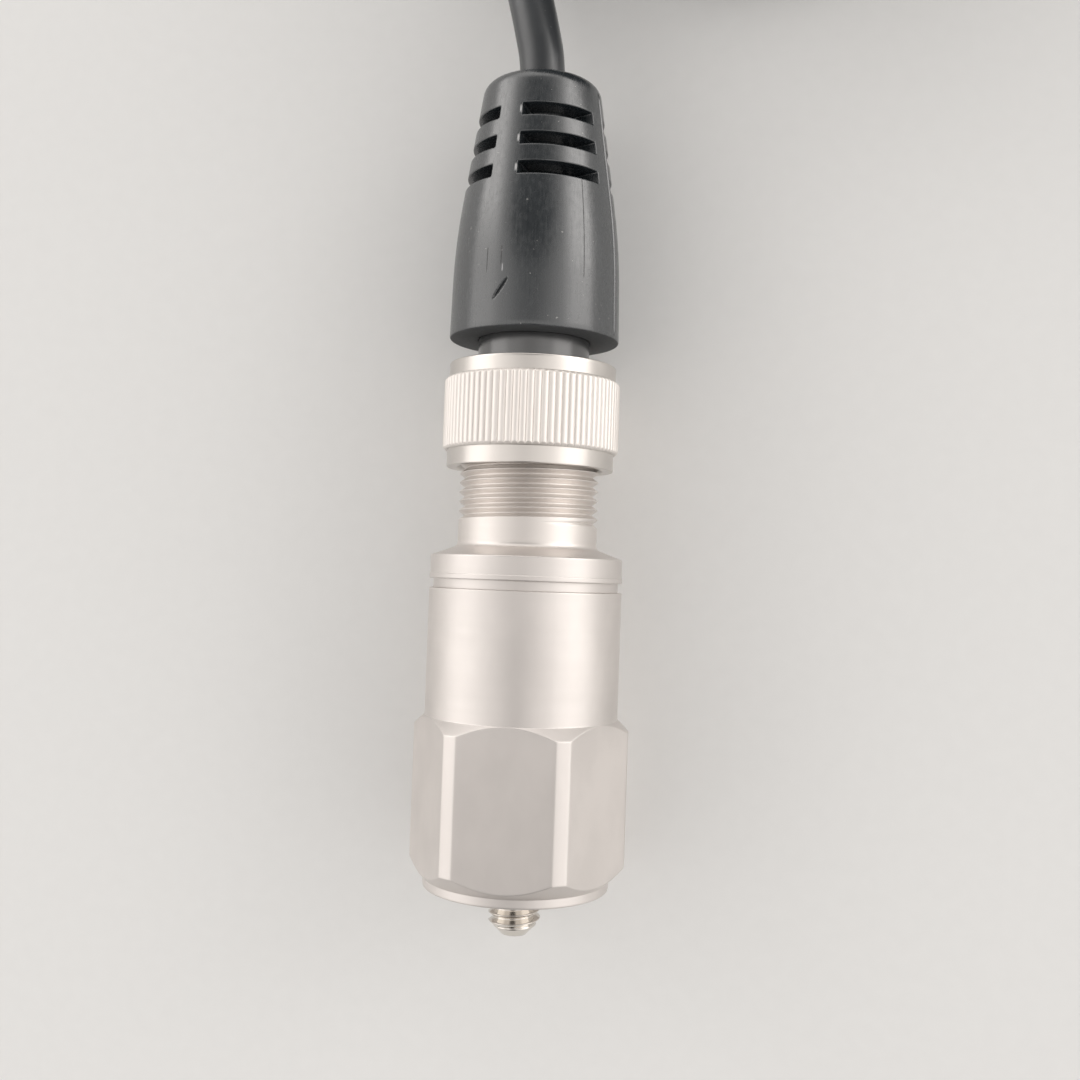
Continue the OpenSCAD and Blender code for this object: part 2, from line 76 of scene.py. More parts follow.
# Camera: above the sensor, a little to its right, with the stud towards the picture's lower edge
CAMERA_LENS = 40
CAMERA_CLIP = 5
CAMERA_DISTANCE = 137.2
CAMERA_AIM = (0, -3.85, AXIS_Z)
CAMERA_SHIFT = 1.46
CAMERA_TURN = math.radians(7.3)
CAMERA_TILT = math.radians(1.6)
CAMERA_ROLL = math.radians(2.0)


def make_camera():
    """A camera that looks down at the axis, turned about it, tilted along it and rolled."""
    along = Vector((0, 1, 0))
    out = Vector((math.sin(CAMERA_TURN), 0, math.cos(CAMERA_TURN)))
    back = math.cos(CAMERA_TILT) * out - math.sin(CAMERA_TILT) * along
    top = (along + math.sin(CAMERA_TILT) * back) / math.cos(CAMERA_TILT)
    side = top.cross(back)
    right = math.cos(CAMERA_ROLL) * side + math.sin(CAMERA_ROLL) * top
    up = math.cos(CAMERA_ROLL) * top - math.sin(CAMERA_ROLL) * side
    place = (Vector(CAMERA_AIM) + CAMERA_SHIFT * right + CAMERA_DISTANCE * back) * MM
    camera = bpy.data.objects.new("camera", bpy.data.cameras.new("camera"))
    camera.data.lens = CAMERA_LENS
    camera.data.clip_start = CAMERA_CLIP * MM
    camera.matrix_world = Matrix((right, up, back)).transposed().to_4x4()
    camera.location = place
    bpy.context.scene.collection.objects.link(camera)
    bpy.context.scene.camera = camera


# Shader values as Python expressions
class Value:
    """An output socket; arithmetic with numbers and other values adds Math nodes."""

    def __init__(self, nodes, socket):
        self.nodes = nodes
        self.socket = socket

    def math(self, operation, *values):
        """The outcome of one Math node on those values."""
        return self.nodes.node("Math", {"operation": operation}, dict(enumerate(values)))

    def __add__(self, other):
        return self.math("ADD", self, other)

    __radd__ = __add__

    def __sub__(self, other):
        return self.math("SUBTRACT", self, other)

    def __rsub__(self, other):
        return self.math("SUBTRACT", other, self)

    def __mul__(self, other):
        return self.math("MULTIPLY", self, other)

    __rmul__ = __mul__

    def __truediv__(self, other):
        return self.math("DIVIDE", self, other)

    def __abs__(self):
        return self.math("ABSOLUTE", self)

    def root(self):
        """Square root."""
        return self.math("SQRT", self)


class Nodes:
    """The nodes of one material or of the world."""

    def __init__(self, owner, shader):
        owner.use_nodes = True
        self.tree = owner.node_tree
        self.shader = self.tree.nodes[shader]

    def feed(self, socket, value):
        """Sets or links one socket of the shader."""
        self.put(self.shader.inputs[socket], value)

    def put(self, socket, value):
        """Sets a socket to a number or colour, or links it to a Value."""
        if isinstance(value, Value):
            self.tree.links.new(value.socket, socket)
        elif socket.type == "RGBA" and len(value) == 3:
            socket.default_value = (*value, 1)
        else:
            socket.default_value = value

    def node(self, kind, settings=None, inputs=None, output=0):
        """Adds a shader node: its settings first, then the values or links of its sockets."""
        made = self.tree.nodes.new("ShaderNode" + kind)
        for name, value in (settings or {}).items():
            setattr(made, name, value)
        for name, value in (inputs or {}).items():
            self.put(made.inputs[name], value)
        return Value(self, made.outputs[output])

    def ramp(self, value, low, high):
        """0 below low, 1 above high, smooth between."""
        settings = {"interpolation_type": "SMOOTHSTEP"}
        return self.node("MapRange", settings, {"Value": value, "From Min": low, "From Max": high})

    def mix(self, factor, first, second):
        """A colour between two colours, which a Mix node has as its sockets 6 and 7 and its output 2."""
        settings = {"data_type": "RGBA"}
        return self.node("Mix", settings, {0: factor, 6: first, 7: second}, output=2)


class Finish(Nodes):
    """A material with one Principled shader: constants go on its sockets, links come from Values."""

    def __init__(self, name, **constants):
        self.material = bpy.data.materials.new(name)
        super().__init__(self.material, "Principled BSDF")
        for socket, value in constants.items():
            self.feed(socket.replace("_", " "), value)

    def place(self):
        """Object coordinates, in metres."""
        return self.node("TexCoord", output="Object")

    def axis(self, name):
        """One coordinate of the surface point, in millimetres."""
        split = self.node("SeparateXYZ", inputs={"Vector": self.place()}, output=name)
        return split / MM

    def noise(self, size, stretch=(1, 1, 1), detail=2.0, offset=(0, 0, 0)):
        """Noise with cells of about that size in millimetres, stretched along the axes."""
        scale = [1 / (size * MM * factor) for factor in stretch]
        where = self.node("Mapping", inputs={"Vector": self.place(), "Scale": scale, "Location": offset})
        return self.node("TexNoise", inputs={"Vector": where, "Scale": 1.0, "Detail": detail})

    def bump(self, height, depth, over=None):
        """A normal bent by that height, of that depth in millimetres, over another one if given."""
        inputs = {"Height": height, "Distance": depth * MM, "Strength": 1.0}
        if over is not None:
            inputs["Normal"] = over
        return self.node("Bump", inputs=inputs)


# Finishes
# Scratches and a painted glint on the boot: turn in degrees, start and end heights, half width in degrees,
# colour
BOOT_SCRATCHES_AND_GLINT = (
    (40.5, 67.4, 79.5, 0.5, (0.008, 0.008, 0.009)),
    # The pale line above the nick is a painted glint, a highlight put into the colour
    (-15.1, 67.6, 68.7, 0.5, (0.4, 0.4, 0.41)),
    (-16.2, 68.3, 70.8, 0.7, (0.008, 0.008, 0.009)),
    (-26.8, 67.6, 70.7, 0.5, (0.008, 0.008, 0.009)),
)
SCRATCH_AND_GLINT_FADE = 0.4
SCRATCH_AND_GLINT_ROUGHNESS = 0.45
# Pale painted glints beside the slots' ends: degrees before the slot, half width in degrees, half height
GLINT_BESIDE_SLOT = (1.0, 1.1, 0.55)
GLINT_COLOUR = (0.4, 0.4, 0.4)
DUST_COLOUR = (0.42, 0.41, 0.39)
# Roughness of the boot's side, and what its end face adds
BOOT_ROUGHNESS = 0.25
BOOT_FACE_ROUGHNESS = 0.5
CABLE_BLACK = {"colour": (0.04, 0.044, 0.048), "roughness": 0.32, "grain": 0.3, "depth": 0.004, "shine": 0.6}
PLASTIC_IOR = 1.6
# The neck's colour is paler than the steel's: painted light, standing for the light the neck catches
NECK_PAINTED_LIGHT_COLOUR = (0.73, 0.69, 0.658)
# The knurl's colour is paler than the nickel's: painted light, standing for the light its teeth catch
KNURL_PAINTED_LIGHT_COLOUR = (0.83, 0.79, 0.755)
# Roughness of the metals, and how much the stains and the turned bands change it
HEXAGON_ROUGHNESS = 0.5
TURNED_ROUGHNESS = 0.45
STUD_ROUGHNESS = 0.13
COLLAR_ROUGHNESS = 0.3
KNURL_ROUGHNESS = 0.56
STAIN_ROUGHNESS = 0.08
SATIN_STAIN_ROUGHNESS = 0.06
BAND_ROUGHNESS = 0.14
# Share of the brightness that stains take from metal, flow marks from mouldings and slow tones from the rest
STAIN_DEPTH = 0.06
FLOW_DEPTH = 0.18
TONE_DEPTH = 0.2


def around(finish):
    """Turn about the sensor's axis, in degrees from straight up towards +X."""
    side = finish.axis("X")
    return side.math("ARCTAN2", side, finish.axis("Z") - AXIS_Z) * math.degrees(1)


def axis_height(finish):
    """Height along the sensor's axis, in millimetres from the mounting face."""
    return finish.axis("Y") - FACE_Y


def between(finish, value, low, high, fade):
    """1 between low and high, fading inside each end."""
    return finish.ramp(value, low, low + fade) * (1 - finish.ramp(value, high - fade, high))


def darker(colour, depth):
    """A colour that has lost that share of its brightness."""
    return [(1 - depth) * part for part in colour]


def stained_metal(name, colour):
    """Metal with slow stains: its finish, the stain's value and the stained colour."""
    finish = Finish(name, Metallic=1.0)
    stain = finish.noise(4.5, stretch=(1, 1.6, 1), detail=3.0)
    return finish, stain, finish.mix(finish.ramp(stain, 0.3, 0.72), darker(colour, STAIN_DEPTH), colour)


def housing_steel():
    """The housing and its header: satin steel, with painted light making the header's neck a little
    brighter.

    Above the hexagon it is turned, so that fine lines and bands run round the axis there.
    """
    finish, stain, tone = stained_metal("satin_steel", (0.71, 0.672, 0.645))
    height = axis_height(finish)
    lines = finish.noise(0.11, stretch=(90, 1, 90), detail=3.0)
    bands = finish.noise(0.77, stretch=(40, 1, 40), offset=(3, 1, 7))
    turned = finish.ramp(height, HEX_TOP - 0.2, HEX_TOP + 0.4)
    neck = finish.ramp(height, SHOULDER_TOP - 0.5, SHOULDER_TOP + 0.5)
    # Painted light: the neck gets a paler colour than the rest of the same steel
    finish.feed("Base Color", finish.mix(neck, tone, NECK_PAINTED_LIGHT_COLOUR))
    rough = HEXAGON_ROUGHNESS + turned * (TURNED_ROUGHNESS - HEXAGON_ROUGHNESS)
    rough = rough + (bands - 0.5) * turned * BAND_ROUGHNESS
    finish.feed("Roughness", rough + (stain - 0.5) * SATIN_STAIN_ROUGHNESS)
    coarse = finish.bump((lines * 0.7 + bands * 0.6) * (turned * 0.9 + 0.1), 0.0016)
    finish.feed("Normal", finish.bump(finish.noise(0.06), 0.0007, over=coarse))
    return finish


def stud_steel():
    """The stud: bright steel, a little dulled here and there."""
    finish, stain, tone = stained_metal("stud_steel", (0.74, 0.70, 0.65))
    finish.feed("Base Color", tone)
    finish.feed("Roughness", STUD_ROUGHNESS + (stain - 0.5) * STAIN_ROUGHNESS)
    finish.feed("Normal", finish.bump(finish.noise(0.05) + stain * 0.5, 0.0004))
    return finish


def bright_nickel():
    """The nut: plated and a little warm, with smooth collars and a duller knurl whose paler colour is
    painted light.
    """
    finish, stain, tone = stained_metal("bright_nickel", (0.7, 0.664, 0.628))
    low, top = reach("coupling_nut")
    knurl = between(finish, axis_height(finish), low + FRONT_COLLAR_H, top - REAR_COLLAR_H, 0.2)
    # Painted light: the knurl gets a paler colour than the collars of the same nickel
    finish.feed("Base Color", finish.mix(knurl, tone, KNURL_PAINTED_LIGHT_COLOUR))
    rough = COLLAR_ROUGHNESS + knurl * (KNURL_ROUGHNESS - COLLAR_ROUGHNESS)
    finish.feed("Roughness", rough + (stain - 0.5) * STAIN_ROUGHNESS)
    finish.feed("Normal", finish.bump(finish.noise(0.08) + stain * 0.5, 0.0006))
    return finish


def moulding(name, colour, shine, coat=0.0, coat_roughness=0.0):
    """Moulded plastic or rubber with faint flow marks: its finish, the marks' value and the colour."""
    finish = Finish(name, IOR=PLASTIC_IOR, Specular_IOR_Level=shine, Coat_Weight=coat,
                    Coat_IOR=PLASTIC_IOR, Coat_Roughness=coat_roughness)
    flow = finish.noise(3.2, stretch=(1, 2.2, 1), detail=3.0)
    return finish, flow, finish.mix(finish.ramp(flow, 0.28, 0.75), darker(colour, FLOW_DEPTH), colour)


def moulded_black(name, colour, roughness, grain, depth, shine=0.5, coat=0.0):
    """A moulding with a fine grain of that size and depth: its finish and its colour."""
    finish, flow, tone = moulding(name, colour, shine, coat, roughness)
    cells = finish.noise(grain, detail=3.0)
    finish.feed("Base Color", tone)
    finish.feed("Roughness", roughness + (flow - 0.5) * 0.14 + (cells - 0.5) * 0.1)
    finish.feed("Normal", finish.bump(cells, depth))
    return finish, tone


def dusted(finish, tone, amount):
    """Puts a few pale grains of dust on a finish."""
    dust = finish.ramp(finish.noise(0.42, detail=1.0, offset=(5, 2, 9)), 0.765, 0.795)
    finish.feed("Base Color", finish.mix(dust * amount, tone, DUST_COLOUR))


def painted_slot_end_glints():
    """Painted glints beside the slots of one column: pale highlights given as short wide lines."""
    before, half_turn, half_height = GLINT_BESIDE_SLOT
    # Painted highlight: a pale mark only at the end of each slot where light catches, not wear
    turn = SLOT_TURN - SLOT_ANGLE / 2 - before
    middles = [reach("cable_boot")[0] + SLOT_START + SLOT_PITCH * row for row in range(SLOT_ROWS)]
    return [(turn, middle - half_height, middle + half_height, half_turn, GLINT_COLOUR) for middle in middles]


def boot_rubber():
    """The boot: black and softly shining, with fine streaks along it, a few scratches and a little dust.

    Scratches are thin lines at one turn about the axis, between two heights; the pale line above the nick
    and the short wide pale lines beside the slots' ends are painted glints. The end face is dull.
    """
    finish, _, tone = moulding("boot_black", (0.018, 0.0225, 0.026), shine=1.0)
    turn = around(finish)
    height = axis_height(finish)
    streaks = finish.noise(0.16, stretch=(1, 22, 1), detail=3.0, offset=(2, 0, 4))
    mottle = finish.noise(0.5, stretch=(1, 1.5, 1), detail=3.0)
    face = 1 - finish.ramp(height - reach("cable_boot")[0], 0.02, 0.1)
    rough = BOOT_ROUGHNESS + (streaks - 0.5) * 0.22 + (mottle - 0.5) * 0.2 + face * BOOT_FACE_ROUGHNESS
    # Dark scratches, and pale lines that are painted glints above the nick and beside the slots' ends
    for at, low, high, half, colour in (*BOOT_SCRATCHES_AND_GLINT, *painted_slot_end_glints()):
        line = 1 - finish.ramp(abs(turn - at), half * 0.3, half)
        scratch_and_glint = line * between(finish, height, low, high, SCRATCH_AND_GLINT_FADE)
        tone = finish.mix(scratch_and_glint, tone, colour)
        rough = rough + scratch_and_glint * SCRATCH_AND_GLINT_ROUGHNESS
    dusted(finish, tone, 0.5)
    finish.feed("Roughness", rough)
    finish.feed("Normal", finish.bump(streaks * 0.6 + mottle * 0.4, 0.004))
    return finish


def cable_rubber():
    """The cable's jacket: black, with a few grains of dust."""
    finish, tone = moulded_black("cable_jacket", **CABLE_BLACK)
    dusted(finish, tone, 0.25)
    return finish


def strap_cloth():
    """The coil's straps: black hook and loop tape with a woven ground."""
    finish = Finish("tie_black", Sheen_Weight=0.3, Sheen_Roughness=0.5)
    loops = finish.noise(0.35, detail=3.0)
    thread = finish.node("TexWave", {"wave_type": "BANDS", "bands_direction": "DIAGONAL"},
                         {"Vector": finish.place(), "Scale": 900.0, "Distortion": 1.5, "Detail": 1.0})
    finish.feed("Base Color", finish.mix(loops, (0.012, 0.012, 0.013), (0.05, 0.05, 0.052)))
    finish.feed("Roughness", 0.75 + (loops - 0.5) * 0.3)
    finish.feed("Normal", finish.bump(loops * 0.6 + thread * 0.4, 0.12))
    return finish


def lead_insulation():
    """The two leads: one red and one white, told apart by their distance from the coil's centre."""
    finish = Finish("core_insulation", Roughness=0.42)
    across = finish.axis("X") - COIL_CENTRE[0]
    along = finish.axis("Y") - COIL_CENTRE[1]
    distance = (across * across + along * along).root()
    outer = finish.ramp(distance, COIL_R - 0.05, COIL_R + 0.05)
    colour = finish.mix(outer, (0.42, 0.03, 0.025), (0.72, 0.71, 0.68))
    mottle = finish.noise(0.8)
    finish.feed("Base Color", finish.mix(mottle * 0.25, colour, (0.3, 0.2, 0.18)))
    finish.feed("Normal", finish.bump(mottle, 0.01))
    return finish


def plain_solid(name, colour, roughness, metallic=0.0, grain=0.2, depth=0.004):
    """An inner piece: its own colour with a fine grain and slow changes of tone."""
    finish = Finish(name, Metallic=metallic)
    slow = finish.noise(2.5)
    finish.feed("Base Color", finish.mix(slow, darker(colour, TONE_DEPTH), colour))
    finish.feed("Roughness", roughness + (slow - 0.5) * 0.12)
    finish.feed("Normal", finish.bump(finish.noise(grain, detail=3.0), depth))
    return finish


# Meshes
# A rounding takes at most the first share of a stretch, and the ring outside it at most the second
ROUND_LIMIT = 0.4
HOLD_LIMIT = 0.48
# How many roundings from the corner that ring lies
HOLD_FACTOR = 1.5


def soft_min(first, second, blend):
    """The smaller of two fields, with a rounded change over about that blend."""
    gap = first - second
    return (first + second - np.sqrt(gap * gap + blend * blend)) / 2


def smooth(value, low, high):
    """0 below low, 1 above high, and a smooth cubic between."""
    t = np.clip((value - low) / (high - low), 0, 1)
    return t * t * (3 - 2 * t)


def rounded_rings(keys, columns, steps=3, closed=False):
    """Rings of an outline with rounded corners, as an array of ring, column and (r, s).

    A key is (r, s, rounding), where r and s may differ from column to column. A corner is replaced by
    a parabola that leaves the outline that far before it and joins it as far behind, and one more ring
    outside each end of it keeps the straight stretches flat in shading.
    """
    points = [np.stack(np.broadcast_arrays(r, s, np.zeros(columns))[:2], axis=-1) for r, s, _ in keys]
    t = np.linspace(0, 1, steps + 1)[:, None, None]
    rings = []
    for i, (corner, (_, _, rounding)) in enumerate(zip(points, keys)):
        at_end = not closed and i in (0, len(keys) - 1)
        if rounding == 0 or at_end:
            rings.append(corner[None])
            continue
        ends = []
        for other in (points[i - 1], points[(i + 1) % len(keys)]):
            run = other - corner
            length = np.linalg.norm(run, axis=-1, keepdims=True)
            near = corner + run * np.minimum(rounding / length, ROUND_LIMIT)
            far = corner + run * np.minimum(HOLD_FACTOR * rounding / length, HOLD_LIMIT)
            ends.append((near, far))
        (start, start_hold), (end, end_hold) = ends
        curve = start * (1 - t) ** 2 + corner * 2 * t * (1 - t) + end * t ** 2
        rings += [start_hold[None], curve, end_hold[None]]
    return np.concatenate(rings)


def on_sensor(r, s, turn):
    """Points of the laid sensor from radius, height and turn."""
    r, s, turn = np.broadcast_arrays(r, s, turn)
    return np.stack((r * np.sin(turn), FACE_Y + s, AXIS_Z + r * np.cos(turn)), axis=-1)


def grid_piece(name, points, finish, body, stands_for, close_rows=False, close_columns=True):
    """A smooth closed mesh from a grid of points: neighbours make quads, doubles are merged.

    points has the shape (rows, columns, 3), in millimetres. The piece rides on the body and stands for
    the CAD nodes that it replaces.
    """
    rows, columns = points.shape[:2]
    index = np.arange(rows * columns).reshape(rows, columns)
    if close_rows:
        index = np.vstack((index, index[:1]))
    if close_columns:
        index = np.hstack((index, index[:, :1]))
    quads = np.stack((index[:-1, :-1], index[:-1, 1:], index[1:, 1:], index[1:, :-1]), axis=-1)
    mesh = bpy.data.meshes.new(name)
    mesh.from_pydata((points.reshape(-1, 3) * MM).tolist(), [], quads.reshape(-1, 4).tolist())
    shell = bmesh.new()
    shell.from_mesh(mesh)
    bmesh.ops.remove_doubles(shell, verts=shell.verts, dist=1e-7)
    bmesh.ops.recalc_face_normals(shell, faces=shell.faces)
    shell.to_mesh(mesh)
    shell.free()
    mesh.polygons.foreach_set("use_smooth", np.ones(len(mesh.polygons), dtype=bool))
    mesh.materials.append(finish.material)
    piece = bpy.data.objects.new(name, mesh)
    bpy.context.scene.collection.objects.link(piece)
    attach(piece, body)
    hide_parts(*stands_for)
    return piece


def tube_points(path, radius, sides):
    """A round tube along a path that is never upright: rings of points square to the path.

    radius may differ from point to point, so that an end can be drawn in.
    """
    heading = np.gradient(path, axis=0)
    heading /= np.linalg.norm(heading, axis=1, keepdims=True)
    side = np.cross(heading, (0, 0, 1))
    side /= np.linalg.norm(side, axis=1, keepdims=True)
    up = np.cross(side, heading)
    turn = np.linspace(0, 2 * np.pi, sides, endpoint=False)[:, None]
    rim = np.cos(turn) * side[:, None] + np.sin(turn) * up[:, None]
    return path[:, None] + np.reshape(radius, (-1, 1, 1)) * rim


def capped(path, radius, sides):
    """A tube with its two ends closed to a point on the path."""
    tube = tube_points(path, np.broadcast_to(radius, len(path)), sides)
    first = np.broadcast_to(path[0], tube[:1].shape)
    last = np.broadcast_to(path[-1], tube[:1].shape)
    return np.concatenate((first, tube, last))


# Cable: points of its centre line from the boot to the coil, then the turns of the coil
CABLE_D = 5.2
CABLE_SIDES = 18
ROUTE = [
    (0, 48.35, 11), (-0.3, 52, 11), (-0.9, 55, 10.9), (-1.6, 58, 10.7), (-2.4, 61, 10.3),
    (-3.3, 64, 9.7), (-4.4, 67.5, 8.9), (-5.4, 71, 8), (-6.4, 75, 6.9), (-7.2, 79, 5.8),
    (-7.8, 83, 4.9), (-8.2, 87, 4.2), (-8.5, 91, 3.7), (-8.6, 95.5, 3.5), (-8.6, 100, 3.4),
]
COIL_CENTRE = (22.6, 100)
COIL_R = 26
COIL_COLUMNS = 3
COIL_ROWS = 4
COIL_BASE = 0.8
COIL_TOP = COIL_BASE + CABLE_D * COIL_ROWS
COIL_START = 180
COIL_END = 212
# How far the cable reaches into the sleeve at its end, in degrees of the coil
INSIDE_SLEEVE = 4
SLEEVE_D = 6
SLEEVE_ANGLE = 26
SLEEVE_STEPS = 40
SLEEVE_SIDES = 24
# How far the sleeve is drawn in at its cable end and at its lead end, and the height of its ripples
SLEEVE_DRAWN = (0.3, 0.9)
SLEEVE_RIPPLE = 0.03
TIE_TURNS = (120, 300)
TIE_T = 0.8
TIE_W = 4
# Room between the coil's sides and the middle of a strap, and the rounding of its corners
TIE_SLACK = 0.55
TIE_ROUND = 2.4
TIE_STEPS = 64
TIE_SIDES = 20
# Powers that square a strap's section across and through it, and the share of its thickness that it keeps
TIE_POWERS = (0.35, 0.6)
TIE_SHARE = 0.96
# Points in one turn of the coil, and in one span of the route to it
TURN_STEPS = 125
ROUTE_STEPS = 10
# Share of a turn over which it moves to the next place, and how far it swings out as it climbs
SHIFT_SHARE = 0.29
CLIMB_SWING = 2.0
# Where the last turn climbs onto the coil, in degrees after the start of that turn
LAST_CLIMB = (240, 315)


def through(points, per_span):
    """A smooth curve through the points: each span is a cubic with the slopes of its neighbours."""
    points = np.array(points, dtype=float)
    slope = np.gradient(points, axis=0)
    t = np.linspace(0, 1, per_span, endpoint=False)[:, None, None]
    spans = ((2 * t ** 3 - 3 * t ** 2 + 1) * points[:-1] + (t ** 3 - 2 * t ** 2 + t) * slope[:-1]
             + (3 * t ** 2 - 2 * t ** 3) * points[1:] + (t ** 3 - t ** 2) * slope[1:])
    return np.concatenate((spans.transpose(1, 0, 2).reshape(-1, 3), points[-1:]))


def on_coil(radius, degrees, height):
    """Points round the coil's centre."""
    turn = np.radians(degrees)
    return np.stack(np.broadcast_arrays(COIL_CENTRE[0] + radius * np.cos(turn),
                                        COIL_CENTRE[1] + radius * np.sin(turn), height), axis=-1)


def coil_path(end_degrees):
    """Centre line of the coil: clockwise turns that fill each layer and then climb to the next.

    A turn keeps its place until its last share, where it moves smoothly to the next place. A turn that
    climbs swings out of the layer as it does, so that it clears the turn that follows it in. The last
    turn climbs over its neighbour onto the top of the coil.
    """
    offsets = np.arange(COIL_COLUMNS)[::-1] - (COIL_COLUMNS - 1) / 2
    radii = []
    for row in range(COIL_ROWS):
        radii += list(COIL_R + CABLE_D * (offsets if row % 2 == 0 else offsets[::-1]))
    radii = np.array(radii)
    layers = np.repeat(np.arange(COIL_ROWS), COIL_COLUMNS)
    heights = COIL_BASE + CABLE_D * (layers + 0.5)
    last = len(radii) - 1
    sweep = np.linspace(0, 360 * last + (COIL_START - end_degrees) % 360, TURN_STEPS * (last + 1))
    turn = np.minimum((sweep / 360).astype(int), last)
    following = np.minimum(turn + 1, last)
    moved = smooth(sweep / 360 - turn, 1 - SHIFT_SHARE, 1)
    climbs = layers[following] - layers[turn]
    swing = CLIMB_SWING * 4 * moved * (1 - moved) * climbs * np.sign(radii[turn] - COIL_R)
    radius = radii[turn] + (radii[following] - radii[turn]) * moved + swing
    height = heights[turn] + (heights[following] - heights[turn]) * moved
    over = np.pi / 2 * smooth(sweep - 360 * last, *LAST_CLIMB)
    rise = COIL_TOP + SLEEVE_D / 2 - heights[last]
    radius = np.where(turn == last, COIL_R + (radius - COIL_R) * np.cos(over), radius)
    height = height + rise * np.sin(over) * (turn == last)
    return on_coil(radius, COIL_START - sweep, height)


def make_cable():
    """The cable as one tube from inside the boot's end to inside the sleeve on the coil."""
    lead = through(ROUTE, ROUTE_STEPS)
    path = np.concatenate((lead[:-1], coil_path(COIL_END - INSIDE_SLEEVE)))
    cable = grid_piece("cable", capped(path, CABLE_D / 2, CABLE_SIDES), cable_rubber(), "sensor",
                       ["cable_lead", "cable_coil"])
    return cable, path


def make_sleeve():
    """The shrunk sleeve where the leads come out: a faintly rippled tube drawn in at both ends."""
    share = np.linspace(0, 1, SLEEVE_STEPS)
    path = on_coil(COIL_R, COIL_END - SLEEVE_ANGLE * share, COIL_TOP + SLEEVE_D / 2)
    drawn = SLEEVE_DRAWN[0] * (1 - smooth(share, 0, 0.08)) + SLEEVE_DRAWN[1] * smooth(share, 0.86, 1)
    ripple = SLEEVE_RIPPLE * np.sin(40 * share) * np.sin(np.pi * share)
    finish, _ = moulded_black("sleeve_black", (0.018, 0.018, 0.019), 0.5, grain=0.4, depth=0.01)
    points = capped(path, SLEEVE_D / 2 - drawn + ripple, SLEEVE_SIDES)
    return grid_piece("end_sleeve", points, finish, "sensor", ["cable_end_sleeve"])


def strap_points(degrees):
    """One strap: a flat rounded section carried round the coil's own section.

    The path is a rectangle with round corners, in the plane of the coil's centre and the strap's angle.
    The section is a rounded box: a circle whose sine and cosine are raised to powers below 1.
    """
    half = COIL_COLUMNS * CABLE_D / 2 + TIE_SLACK
    top = COIL_TOP + TIE_T / 2
    bottom = TIE_T / 2
    turn = np.linspace(0, 2 * np.pi, TIE_STEPS, endpoint=False) + np.pi / TIE_STEPS
    out = np.stack((np.cos(turn), np.sin(turn)), axis=-1)
    middle = np.array((0, (top + bottom) / 2))
    inner = np.array((half - TIE_ROUND, (top - bottom) / 2 - TIE_ROUND))
    path = middle + np.sign(out) * inner + TIE_ROUND * out
    lap = np.linspace(0, 2 * np.pi, TIE_SIDES, endpoint=False)
    across = TIE_W / 2 * np.sign(np.cos(lap)) * np.abs(np.cos(lap)) ** TIE_POWERS[0]
    thick = TIE_T / 2 * TIE_SHARE * np.sign(np.sin(lap)) * np.abs(np.sin(lap)) ** TIE_POWERS[1]
    plane = path[:, None] + thick[None, :, None] * out[:, None]
    angle = np.radians(degrees)
    r = COIL_R + plane[..., 0]
    x = COIL_CENTRE[0] + r * np.cos(angle) - across * np.sin(angle)
    y = COIL_CENTRE[1] + r * np.sin(angle) + across * np.cos(angle)
    return np.stack((x, y, plane[..., 1]), axis=-1)


def make_straps():
    """The straps that hold the coil."""
    finish = strap_cloth()
    straps = []
    for number, degrees in enumerate(TIE_TURNS, 1):
        straps.append(grid_piece(f"coil_strap_{number}", strap_points(degrees), finish, "sensor",
                                 ["coil_ties"], close_rows=True))
    return straps


# Housing
BASE_R = 10.5
BASE_H = 1.05
HEX_TOP = 17.8
BARREL_R = 10.95
CAVITY_R = 9
FLOOR_H = 8
STUD_HOLE_R = 2.98
STUD_HOLE_H = 6.9
STUD_MOUTH_R = 3.3
STUD_MOUTH_H = 0.3
EDGE_BLEND = 0.06
# Degrees from a hexagon's edge at which columns lie close together, so that the edge stays crisp
NEAR_EDGE = np.array((0, 0.1, 0.22, 0.36, 0.55, 0.85))


def make_housing(steel):
    """The housing: a turned outline whose hexagon is a prism met by a cone at each end.

    In each column the hexagon's radius is the smaller of the corner's and of the flat's, which is the
    flat's distance over the cosine of the angle from its middle.
    """
    corner_r = half_width("sensor_housing")
    flat_r = AXIS_Z - corners("sensor_housing")[0][2]
    top = reach("sensor_housing")[1]
    edge = math.degrees(math.acos(flat_r / corner_r))
    flat = np.linspace(0, edge - 1.2, 12)
    half = np.concatenate((flat, edge - NEAR_EDGE, edge + NEAR_EDGE[1:], [edge + 2]))
    sector = np.unique(np.concatenate((half, -half, [-30])))
    degrees = (np.arange(6)[:, None] * 60 + sector).ravel()
    turn = np.radians(degrees)
    from_flat = np.radians((degrees + 30) % 60 - 30)
    hexagon = soft_min(flat_r / np.cos(from_flat), np.full_like(turn, corner_r), EDGE_BLEND)
    chamfer_end = HEX_TOP + corner_r - BARREL_R
    keys = [
        (0, STUD_HOLE_H, 0), (STUD_HOLE_R, STUD_HOLE_H, 0.05), (STUD_HOLE_R, STUD_MOUTH_H, 0.1),
        (STUD_MOUTH_R, 0, 0.1), (BASE_R, 0, 0.22), (BASE_R, BASE_H, 0.05),
        (hexagon, BASE_H + hexagon - BASE_R, 0.1),
        (hexagon, HEX_TOP + corner_r - hexagon, 0.1), (BARREL_R, chamfer_end, 0.05), (BARREL_R, top, 0.12),
        (CAVITY_R, top, 0.05), (CAVITY_R, FLOOR_H, 0.05), (0, FLOOR_H, 0),
    ]
    rings = rounded_rings(keys, len(turn))
    points = on_sensor(rings[..., 0], rings[..., 1], turn)
    grid_piece("housing", points, steel, "sensor", ["sensor_housing"])


